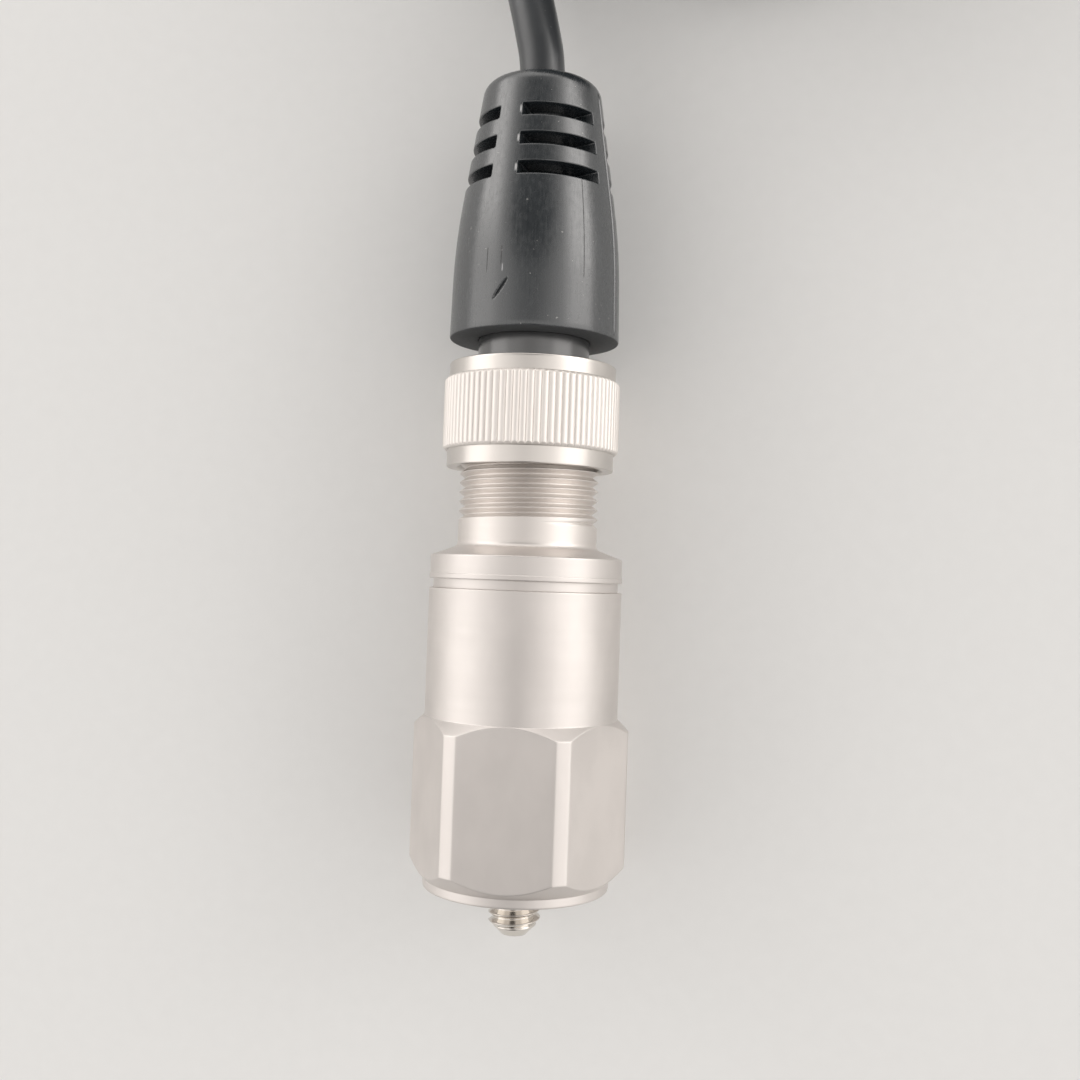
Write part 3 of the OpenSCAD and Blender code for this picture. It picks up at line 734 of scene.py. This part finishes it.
# Threads
# Rings of one pitch, as shares of it from the groove's middle to the next groove's
PITCH_RINGS = np.array((0, 0.03, 0.06, 0.15, 0.3, 0.43, 0.465, 0.5, 0.535, 0.57, 0.7, 0.85, 0.94, 0.97))
ROOT_SHARE = 0.05
CREST_SHARE = 0.465


def thread_rings(low, high, first, pitch, depth, turns, run_in):
    """Rings that follow a right-hand thread, as heights and groove depths per ring and column.

    A ring climbs one pitch in one turn, from the angle where the thread starts. The groove is a V with a
    narrow root, cut to the full depth over the run-in angle; heights are held between low and high.
    """
    pitches = np.arange(-2, math.ceil((high - first) / pitch) + 2)
    share = (pitches[:, None] + PITCH_RINGS).ravel()[:, None]
    height = np.clip(first + pitch * (share + turns), low, high)
    groove = np.round(share)
    away = np.abs(share - groove)
    full = depth * np.clip((CREST_SHARE - away) / (CREST_SHARE - ROOT_SHARE), 0, 1)
    cut = smooth((groove + turns) * 360, 0, run_in)
    return height, np.maximum(full - depth * (1 - cut), 0)


# Header
LAND_R = 10.5
LAND_H = 1.05
BEAD_R = 10.97
BEAD_H = 0.6
# The bead's lower edge is cut by this much across and along, its upper one along
BEAD_LOWER_EDGE = (0.06, 0.1)
BEAD_UPPER_EDGE = 0.08
FLANGE_R = 10.9
FLANGE_TOP = 37.1
SHOULDER_TOP = 38.2
NECK_R = 7.915
NECK_CHAMFER = 0.5
SOCKET_R = 6.6
SOCKET_S = 43.5
GLASS_R = 5.5
SPIGOT_R = 8.96
THREAD_LOW = 39.9
THREAD_FIRST = 40.85
THREAD_PITCH = 1.058
THREAD_DEPTH = 0.62
THREAD_START = math.radians(13)
# Degrees over which the thread gets its depth, and the length over which it ends below the chamfer
THREAD_RUN_IN = 115
THREAD_RUN_OUT = 0.3
HEADER_COLUMNS = 241


def make_header(steel):
    """The connector header: a turned ring with a weld groove, a bead, a cone and a threaded neck."""
    low, neck_top = reach("connector_header")
    rim = corners("sensor_housing")[1][1] - FACE_Y
    land_top = rim + LAND_H
    thread_top = neck_top - NECK_CHAMFER
    turns = np.linspace(0, 1, HEADER_COLUMNS)
    turn = THREAD_START + 2 * np.pi * turns
    keys = [
        (NECK_R, thread_top, 0), (NECK_R - NECK_CHAMFER, neck_top, 0.1), (SOCKET_R, neck_top, 0.1),
        (SOCKET_R, SOCKET_S, 0.1), (GLASS_R, SOCKET_S, 0.05), (GLASS_R, low, 0.1), (SPIGOT_R, low, 0.1),
        (SPIGOT_R, rim, 0.05), (LAND_R, rim, 0.04), (LAND_R, land_top, 0.05),
        (BEAD_R - BEAD_LOWER_EDGE[0], land_top, 0.05), (BEAD_R, land_top + BEAD_LOWER_EDGE[1], 0.05),
        (BEAD_R, land_top + BEAD_H - BEAD_UPPER_EDGE, 0.05),
        (FLANGE_R, land_top + BEAD_H, 0.03), (FLANGE_R, FLANGE_TOP, 0.16),
        (NECK_R, SHOULDER_TOP, 0.5), (NECK_R, THREAD_LOW, 0),
    ]
    rings = rounded_rings(keys, len(turns), steps=4)
    height, groove = thread_rings(THREAD_LOW, thread_top, THREAD_FIRST, THREAD_PITCH, THREAD_DEPTH, turns,
                                  THREAD_RUN_IN)
    groove = groove * smooth(thread_top - height, 0, THREAD_RUN_OUT)
    r = np.concatenate((rings[..., 0], NECK_R - groove))
    s = np.concatenate((rings[..., 1], height))
    grid_piece("threaded_header", on_sensor(r, s, turn), steel, "sensor",
               ["connector_header"], close_rows=True, close_columns=False)


# Stud
STUD_TIP_R = 1.45
# How fast the coned tip widens, and the rounding where it meets the thread
STUD_TIP_SLOPE = 0.995
STUD_TIP_BLEND = 0.06
# Heights between which the thread runs out into the undercut
STUD_RUN_OUT = (-0.15, 0.2)
STUD_NECK_R = 2.35
STUD_NECK_H = 0.8
STUD_PITCH = 1.0
STUD_THREAD_DEPTH = 0.58
# Height of one groove; the thread starts three pitches below it, before the tip
STUD_GROOVE = -3.27
STUD_START = math.radians(8.4)
STUD_COLUMNS = 161


def make_stud():
    """The stud: a threaded rod with a coned tip, undercut where it enters the housing."""
    low, top = reach("mounting_stud")
    radius = half_width("mounting_stud")
    turns = np.linspace(0, 1, STUD_COLUMNS)
    first = STUD_GROOVE - 3 * STUD_PITCH
    neck_low = STUD_RUN_OUT[1]
    height, groove = thread_rings(low, neck_low, first, STUD_PITCH, STUD_THREAD_DEPTH, turns, run_in=1)
    cone = STUD_TIP_R + (height - low) * STUD_TIP_SLOPE
    r = np.minimum(soft_min(np.full_like(height, radius), cone, STUD_TIP_BLEND), radius - groove)
    r = r + (STUD_NECK_R - r) * smooth(height, *STUD_RUN_OUT)
    keys = [
        (STUD_NECK_R, neck_low, 0), (STUD_NECK_R, STUD_NECK_H, 0.1), (radius, STUD_NECK_H, 0.1),
        (radius, top, 0.3), (0, top, 0),
    ]
    rings = rounded_rings(keys, len(turns))
    tip = np.zeros_like(turns)[None]
    r = np.concatenate((tip, r, rings[..., 0]))
    s = np.concatenate((tip + low, height, rings[..., 1]))
    points = on_sensor(r, s, STUD_START + 2 * np.pi * turns)
    grid_piece("stud", points, stud_steel(), "sensor", ["mounting_stud"], close_columns=False)


# Coupling nut
COLLAR_R = 9.5
FRONT_COLLAR_H = 1.9
REAR_COLLAR_H = 1.7
KNURL_TEETH = 80
KNURL_DEPTH = 0.2
KNURL_CHAMFER = 0.35
TOOTH_POWER = 0.6
# Columns of one tooth, as shares of it from one root to the next
TOOTH_COLUMNS = np.array((0, 0.05, 0.1, 0.15, 0.2, 0.27, 0.5, 0.73, 0.8, 0.85, 0.9, 0.95))
NUT_BORE_R = 8.0
NUT_MOUTH = 0.35
RING_LOW = 55.25
RING_TOP = 56.05
RING_GROOVE_R = 8.25
LIP_R = 6.45


def make_nut():
    """The nut: a turned ring whose knurl has rounded teeth with a narrow root between them.

    A tooth rises as a power of the sine of its share, and the chamfer at each end of the knurl cuts
    the teeth off.
    """
    low, top = reach("coupling_nut")
    crest_r = half_width("coupling_nut")
    knurl_low = low + FRONT_COLLAR_H
    knurl_top = top - REAR_COLLAR_H
    end_r = crest_r - KNURL_CHAMFER
    keys = [
        (NUT_BORE_R, RING_LOW, 0), (NUT_BORE_R, low + NUT_MOUTH, 0.1), (NUT_BORE_R + NUT_MOUTH, low, 0.1),
        (COLLAR_R, low, 0.14), (COLLAR_R, knurl_low, 0.03), (end_r, knurl_low, 0.02),
        (crest_r, knurl_low + KNURL_CHAMFER, 0.1), (crest_r, knurl_top - KNURL_CHAMFER, 0.1),
        (end_r, knurl_top, 0.02), (COLLAR_R, knurl_top, 0.03), (COLLAR_R, top, 0.2), (LIP_R, top, 0.15),
        (LIP_R, RING_TOP, 0), (RING_GROOVE_R, RING_TOP, 0), (RING_GROOVE_R, RING_LOW, 0),
    ]
    share = (np.arange(KNURL_TEETH)[:, None] + TOOTH_COLUMNS).ravel()
    rings = rounded_rings(keys, len(share), closed=True)
    tooth = crest_r - KNURL_DEPTH * (1 - np.abs(np.sin(np.pi * share)) ** TOOTH_POWER)
    r = np.where(rings[..., 0] > end_r - 0.01, np.minimum(rings[..., 0], tooth), rings[..., 0])
    points = on_sensor(r, rings[..., 1], 2 * np.pi * share / KNURL_TEETH)
    grid_piece("knurled_nut", points, bright_nickel(), "nut", ["coupling_nut"], close_rows=True)


# Boot
BOOT_R = 9.68
BOOT_STRAIGHT_H = 6.2
BOOT_BEND_H = 9
STRAIGHT_SLOPE = 0.024
CONE_SLOPE = 0.15
RIM_ROUND = 0.2
TIP_ROUND = 1.7
# Bores from the stem's end to the cable's: radius, and the height where each ends
STEM_HOLE = (6.39, 4.2)
MOULD_HOLE = (5.64, 12.2)
CABLE_HOLE_R = 2.64
SLOT_ROWS = 3
SLOT_START = 17.6
SLOT_PITCH = 3.4
SLOT_W = 1.4
SLOTS_PER_ROW = 4
SLOT_ANGLE = 68
SLOT_TURN = 24.3
SLOT_CORE_R = 4.2
SLOT_CORNER = 0.15
SLOT_LIP = 0.16
SLOT_WALL = 0.05
# Moulding seams on both sides, and a nick left by a tool
SEAM_TURNS = (74.4, 254.4)
SEAM_RISE = 0.14
SEAM_HALF_W = 0.13
NICK_TURN = -16
NICK_H = 4.1
NICK_LEAN = math.radians(36)
NICK_HALF = (0.2, 1.4)
NICK_DEPTH = 0.4
# Where the seams end on the tip's rounding, measured from where that starts
MARKS_END = (-0.3, 0.5)
# Spacing of the grid in degrees and along the axis, on the plain side and at the nick
SIDE_STEPS = (2.0, 0.45)
NICK_STEPS = (0.6, 0.1)
# How far the nick's spacing reaches on both sides of it, and the spacing at the seams in degrees
NICK_REACH = (7, 1.8)
SEAM_STEP = 0.3
# Distances from a slot's edge at which rows and columns lie close together, and one more for columns
NEAR_SLOT = np.array((0, 0.015, 0.04, 0.07, 0.1, 0.15, 0.22))
BESIDE_SLOT = 0.42
# Degrees of turn for one millimetre of the boot's side at the slots
DEGREES_PER_MM = 7.6


def boot_radius(h):
    """Radius of the boot at height h: nearly straight, then a bend of steady curvature, then a cone."""
    bend = np.clip(h - BOOT_STRAIGHT_H, 0, BOOT_BEND_H)
    cone = np.maximum(h - BOOT_STRAIGHT_H - BOOT_BEND_H, 0)
    curve = (CONE_SLOPE - STRAIGHT_SLOPE) * bend * bend / (2 * BOOT_BEND_H)
    return BOOT_R - STRAIGHT_SLOPE * (np.minimum(h, BOOT_STRAIGHT_H) + bend) - curve - CONE_SLOPE * cone


def near(places, offsets):
    """Every place with every offset, on both sides of it."""
    return (np.array(places)[:, None] + np.concatenate((-np.array(offsets), offsets))).ravel()


def angle_from(degrees, middle):
    """Signed angle from a middle, in degrees from -180 to 180."""
    return (degrees - middle + 180) % 360 - 180


def slot_drop(degrees, h, radius):
    """How far the surface drops at each point for the bend relief slots.

    Each slot is a box with round corners on the unrolled boot. Outside it the lip rounds over as a
    quarter circle; inside, a short steep wall leads down to the core that the slots leave standing.
    """
    drop = np.zeros(np.broadcast_shapes(degrees.shape, h.shape))
    for row in range(SLOT_ROWS):
        for slot in range(SLOTS_PER_ROW):
            turn = angle_from(degrees, SLOT_TURN + 360 * slot / SLOTS_PER_ROW)
            across = np.abs(np.radians(turn)) * radius - np.radians(SLOT_ANGLE / 2) * radius + SLOT_CORNER
            along = np.abs(h - SLOT_START - SLOT_PITCH * row) - SLOT_W / 2 + SLOT_CORNER
            outside = np.hypot(np.maximum(across, 0), np.maximum(along, 0))
            edge = outside + np.minimum(np.maximum(across, along), 0) - SLOT_CORNER
            lip = np.clip(1 - edge / SLOT_LIP, 0, 1)
            rounding = SLOT_LIP * (1 - np.sqrt(1 - lip * lip))
            wall = np.clip(-edge / SLOT_WALL, 0, 1) * (radius - SLOT_CORE_R - SLOT_LIP)
            drop = np.maximum(drop, rounding + wall)
    return drop


def boot_columns():
    """Turns of the boot's columns, in degrees: even steps, and more at the slots' ends, seams and nick."""
    slot_ends = [SLOT_TURN + 360 * slot / SLOTS_PER_ROW + side * SLOT_ANGLE / 2
                 for slot in range(SLOTS_PER_ROW) for side in (-1, 1)]
    degrees = np.concatenate((
        np.arange(0, 360, SIDE_STEPS[0]),
        near(slot_ends, np.append(NEAR_SLOT, BESIDE_SLOT) * DEGREES_PER_MM),
        near(SEAM_TURNS, np.arange(6) * SEAM_STEP),
        np.arange(NICK_TURN - NICK_REACH[0], NICK_TURN + NICK_REACH[0], NICK_STEPS[0]),
    ))
    return np.unique(np.round(degrees % 360, 3))


def boot_rows(tip_h):
    """Heights of the rows on the boot's side: even steps, and more at the slots' sides and the nick."""
    slot_sides = [SLOT_START + SLOT_PITCH * row + side * SLOT_W / 2
                  for row in range(SLOT_ROWS) for side in (-1, 1)]
    heights = np.concatenate((
        np.arange(RIM_ROUND, tip_h, SIDE_STEPS[1]),
        near(slot_sides, NEAR_SLOT),
        np.arange(NICK_H - NICK_REACH[1], NICK_H + NICK_REACH[1], NICK_STEPS[1]),
    ))
    return np.unique(np.round(heights, 3))


def boot_marks(degrees, h, r):
    """How far the surface rises at each point for the seams, less its drop for the nick.

    A seam is a bell curve across its turn. The nick is half of an ellipsoid that leans to one side.
    """
    seams = 0
    for turn in SEAM_TURNS:
        away = np.radians(angle_from(degrees, turn)) * r
        seams = seams + np.exp(-(away / SEAM_HALF_W) ** 2)
    x = np.radians(angle_from(degrees, NICK_TURN)) * r
    y = h - NICK_H
    across = (x * math.cos(NICK_LEAN) - y * math.sin(NICK_LEAN)) / NICK_HALF[0]
    along = (x * math.sin(NICK_LEAN) + y * math.cos(NICK_LEAN)) / NICK_HALF[1]
    nick = np.sqrt(np.clip(1 - across ** 2 - along ** 2, 0, 1))
    return SEAM_RISE * seams - NICK_DEPTH * nick


def make_boot():
    """The boot: its side as a radius over turn and height, closed round its bores by a turned outline."""
    low, top = reach("cable_boot")
    length = top - low
    lean = math.atan(CONE_SLOPE)
    tip_h = length - TIP_ROUND
    tip_r = boot_radius(tip_h + TIP_ROUND * math.sin(lean)) - TIP_ROUND * math.cos(lean)
    rim_r = boot_radius(RIM_ROUND) - RIM_ROUND
    degrees = boot_columns()
    side_h = boot_rows(tip_h)[1:]
    rim = np.radians(np.linspace(-90, 0, 6))
    tip = np.linspace(lean, np.pi / 2, 12)
    r = (rim_r + RIM_ROUND * np.cos(rim), boot_radius(side_h), tip_r + TIP_ROUND * np.cos(tip))
    h = (RIM_ROUND + RIM_ROUND * np.sin(rim), side_h, tip_h + TIP_ROUND * np.sin(tip))
    r, h = np.concatenate(r)[:, None], np.concatenate(h)[:, None]
    on_side = smooth(h, RIM_ROUND, 2 * RIM_ROUND) * (1 - smooth(h - tip_h, *MARKS_END))
    outer_r = r + on_side * boot_marks(degrees, h, r) - slot_drop(degrees, h, r)
    outer = np.stack((outer_r, np.broadcast_to(h, outer_r.shape)), axis=-1)
    keys = [
        (tip_r, length, 0), (CABLE_HOLE_R, length, 0.3), (CABLE_HOLE_R, MOULD_HOLE[1], 0.1),
        (MOULD_HOLE[0], MOULD_HOLE[1], 0.1), (MOULD_HOLE[0], STEM_HOLE[1], 0.1),
        (STEM_HOLE[0], STEM_HOLE[1], 0.1), (STEM_HOLE[0], 0, 0.2), (rim_r, 0, 0),
    ]
    rings = np.concatenate((outer, rounded_rings(keys, len(degrees))))
    points = on_sensor(rings[..., 0], low + rings[..., 1], np.radians(degrees))
    grid_piece("moulded_boot", points, boot_rubber(), "sensor", ["cable_boot"], close_rows=True)


# CAD nodes that keep their shape
def dress_nodes():
    """Gives each CAD node that stays its own finish."""
    metal = {"metallic": 1.0, "grain": 0.1}
    finishes = [
        (plain_solid("inner_steel", (0.55, 0.55, 0.56), 0.32, depth=0.002, **metal),
         ["element_post", "spring_washer", "preload_nut", "shield_can"]),
        (plain_solid("piezo", (0.52, 0.45, 0.33), 0.6), ["piezo_ring_lower", "piezo_ring_upper"]),
        (plain_solid("contact_brass", (0.83, 0.62, 0.27), 0.25, depth=0.001, **metal),
         ["contact_electrode", "contact_pins", "contact_sockets", "signal_wire"]),
        (plain_solid("insulator", (0.72, 0.69, 0.62), 0.5),
         ["base_insulator", "insulating_sleeve", "board_spacer"]),
        (plain_solid("mass_metal", (0.36, 0.36, 0.38), 0.35, metallic=1.0), ["seismic_mass"]),
        (plain_solid("header_glass", (0.03, 0.05, 0.06), 0.2), ["header_insulator"]),
        (plain_solid("board", (0.02, 0.12, 0.05), 0.45), ["amplifier_board"]),
        (plain_solid("component_black", (0.02, 0.02, 0.022), 0.5), ["board_components"]),
        (plain_solid("wire_red", (0.4, 0.03, 0.03), 0.45), ["lead_wires", "cable_cores"]),
        (plain_solid("gasket_rubber", (0.28, 0.06, 0.03), 0.6), ["plug_gasket"]),
        (plain_solid("ring_plastic", (0.6, 0.5, 0.36), 0.5), ["nut_friction_ring"]),
        (plain_solid("mould_grey", (0.16, 0.16, 0.165), 0.5), ["inner_mould"]),
        (moulded_black("plug_black", (0.018, 0.019, 0.020), 0.22, grain=0.2, depth=0.001, shine=1.0,
                       coat=0.5)[0], ["plug_insert"]),
        (moulded_black("stub_jacket", **CABLE_BLACK)[0], ["cable_stub"]),
        (lead_insulation(), ["end_leads"]),
        (plain_solid("ferrule_metal", (0.75, 0.74, 0.72), 0.25, depth=0.002, **metal), ["lead_ferrules"]),
    ]
    for finish, nodes in finishes:
        for node in nodes:
            for place in bpy.data.objects[node].material_slots:
                place.material = finish.material


# Floor and light
FLOOR_HALF = 20000
FLOOR_COLOURS = ((0.77, 0.77, 0.76), (0.80, 0.80, 0.79))
BACKDROP_COLOUR = (0.8, 0.8, 0.79)
ROOM_COLOUR = (1.0, 0.97, 0.945)
ROOM_LEVEL = 1.12
ROOM_SLOPE = 0.38
# Shaded parts of the ceiling: middle along the axis, reach across and along, share of the light taken
CEILING_SHADES = ((-0.5, 0.3, 0.5, 0.85), (0.49, 0.64, 0.3, 0.92), (-0.95, 0.7, 0.42, 0.55))
# Shares of its reach between which a shade fades out, and heights between which it gets its depth
SHADE_FADE = (0.5, 1.2)
SHADE_RISE = (0, 0.15)
# Lights beside the object: side, where each starts and is full across the axis and along it, and its level
SIDE_LIGHTS = (
    (-1, 0.66, 0.84, -1.0, -0.9, 0.58),
    (1, 0.64, 0.84, -1.0, -0.9, 0.6),
    (-1, 0.74, 0.9, 0.36, 0.5, 1.3),
    (1, 0.72, 0.9, 0.22, 0.32, 1.6),
)
# Where all of them fade out towards both ends of the axis
SIDE_FADE = (0.5, 0.85)


def make_floor():
    """A wide pale floor under the object."""
    half = FLOOR_HALF * MM
    mesh = bpy.data.meshes.new("floor")
    square = [(-half, -half, 0), (half, -half, 0), (half, half, 0), (-half, half, 0)]
    mesh.from_pydata(square, [], [(0, 1, 2, 3)])
    paper = Finish("pale_floor", Roughness=0.7)
    paper.feed("Base Color", paper.mix(paper.noise(2.0, detail=3.0), *FLOOR_COLOURS))
    mesh.materials.append(paper.material)
    floor = bpy.data.objects.new("floor", mesh)
    bpy.context.scene.collection.objects.link(floor)


def make_light():
    """A room that is brighter towards the cable, with a shaded ceiling and soft lights on both sides.

    The level depends on the direction alone, whose parts x, y and z run from -1 to 1. A shade is an
    ellipse seen from below, and a side light a band beside the axis. The camera sees a plain backdrop.
    """
    world = bpy.data.worlds.new("room")
    bpy.context.scene.world = world
    room = Nodes(world, "Background")
    direction = room.node("TexCoord", output="Generated")
    x, y, z = (room.node("SeparateXYZ", inputs={"Vector": direction}, output=axis) for axis in "XYZ")
    level = ROOM_LEVEL + y * ROOM_SLOPE
    overhead = room.ramp(z, *SHADE_RISE)
    for middle, reach_across, reach_along, depth in CEILING_SHADES:
        across = x / reach_across
        along = (y - middle) / reach_along
        shade = 1 - room.ramp((across * across + along * along).root(), *SHADE_FADE)
        level = level * (1 - shade * overhead * depth)
    beside = 1 - room.ramp(abs(y), *SIDE_FADE)
    sideways = x / (1 - y * y).root()
    for side, start, full, near_end, far_end, strength in SIDE_LIGHTS:
        window = room.ramp(sideways * side, start, full) * room.ramp(y, near_end, far_end) * beside
        level = level + window * strength
    backdrop = room.node("LightPath", output="Is Camera Ray")
    room.feed("Color", room.mix(backdrop, ROOM_COLOUR, BACKDROP_COLOUR))
    room.feed("Strength", level * (1 - backdrop) + backdrop)
    bpy.context.scene.view_settings.view_transform = "Standard"


make_camera()
cable, cable_path = make_cable()
sleeve = make_sleeve()
straps = make_straps()
satin_steel = housing_steel()
make_housing(satin_steel)
make_header(satin_steel)
make_stud()
make_nut()
make_boot()
dress_nodes()
make_floor()
make_light()
